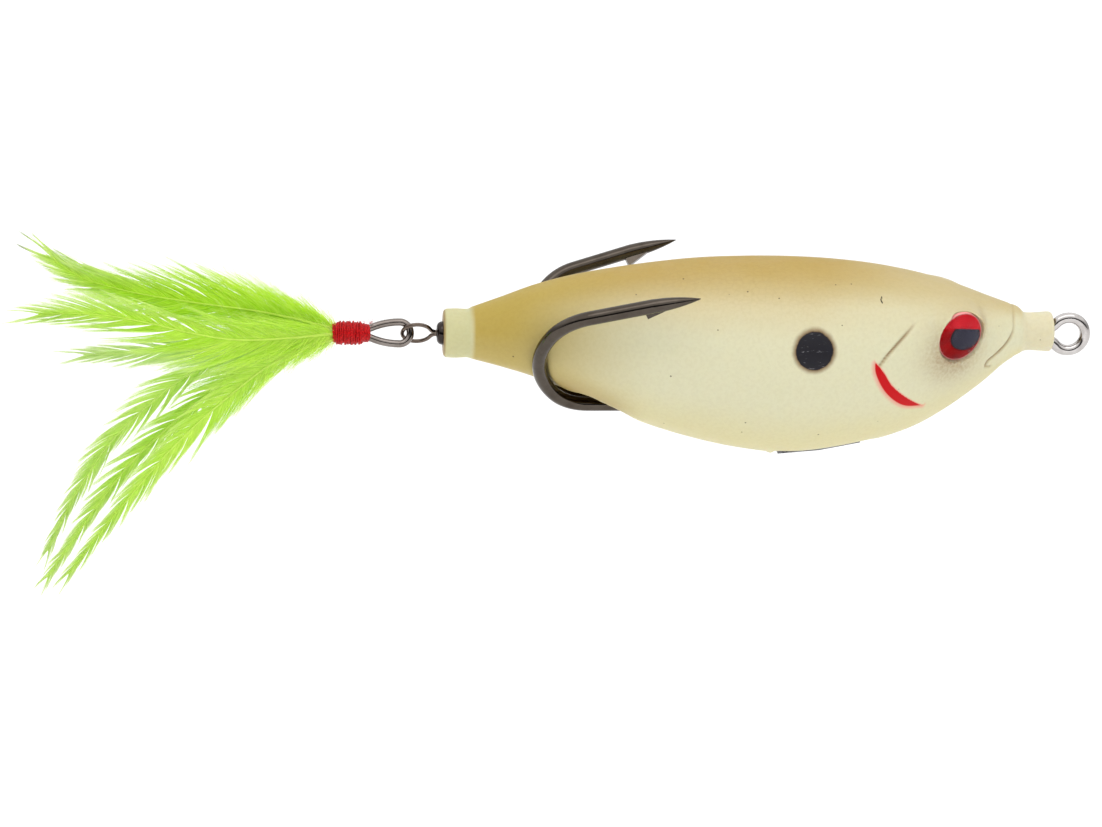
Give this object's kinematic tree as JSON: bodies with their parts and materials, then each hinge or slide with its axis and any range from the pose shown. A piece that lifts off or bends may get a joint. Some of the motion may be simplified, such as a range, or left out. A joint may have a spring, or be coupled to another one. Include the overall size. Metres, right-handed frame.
{
  "type": "topwater lure",
  "caption": "Hollow soft-body surface lure with a double hook along its flanks, keel weight, wire line tie, and a feather-dressed ring that swings and spins on a tail swivel.",
  "frame": {"origin": "centre of the wire line-tie eye at the nose", "axes": "+X forward out of the nose along the lure, +Y to the lure's left, +Z to its back"},
  "size_m": [0.1131, 0.0242, 0.0392],
  "materials": {
    "skin": "soft satin plastic, bone belly and tan back",
    "stainless": "bright drawn wire",
    "hook_steel": "black nickel plate",
    "lead": "dark cast lead",
    "swivel_black": "blackened barrel",
    "swivel_wire": "blackened wire",
    "ring_steel": "nickelled wire",
    "thread": "wound silky thread",
    "eye_print": "printed red with a dark pupil",
    "eye_lens": "clear resin dome",
    "hackle": "dyed feather"
  },
  "bodies": {
    "lure_body": {"body_shell": "skin", "line_tie": "stainless", "double_hook": "hook_steel", "keel_weight": "lead", "tail_wire": "stainless", "swivel_barrel": "swivel_black", "swivel_front_eye": "swivel_wire", "right_eye_disc": "eye_print", "left_eye_disc": "eye_print", "right_eye_dome": "eye_lens", "left_eye_dome": "eye_lens"},
    "swivel_loop": {"swivel_rear_eye": "swivel_wire"},
    "feather_tail": {"tail_ring": "ring_steel", "thread_wrap": "thread", "hackle_middle": "hackle", "hackle_lower_front": "hackle", "hackle_short": "hackle", "hackle_upper_front": "hackle", "hackle_lower_middle": "hackle", "hackle_upper_rear": "hackle", "hackle_lower_rear": "hackle"}
  },
  "joints": [
    {"name": "swivel_spin", "type": "hinge", "parent": "lure_body", "child": "swivel_loop", "pos_m": [-0.0677, 0, 0], "axis": [1, 0, 0], "continuous": true},
    {"name": "tail_swing", "type": "hinge", "parent": "swivel_loop", "child": "feather_tail", "pos_m": [-0.07132, 0, 0], "axis": [0, -0.6428, 0.766], "range_deg": [-60, 60]}
  ]
}
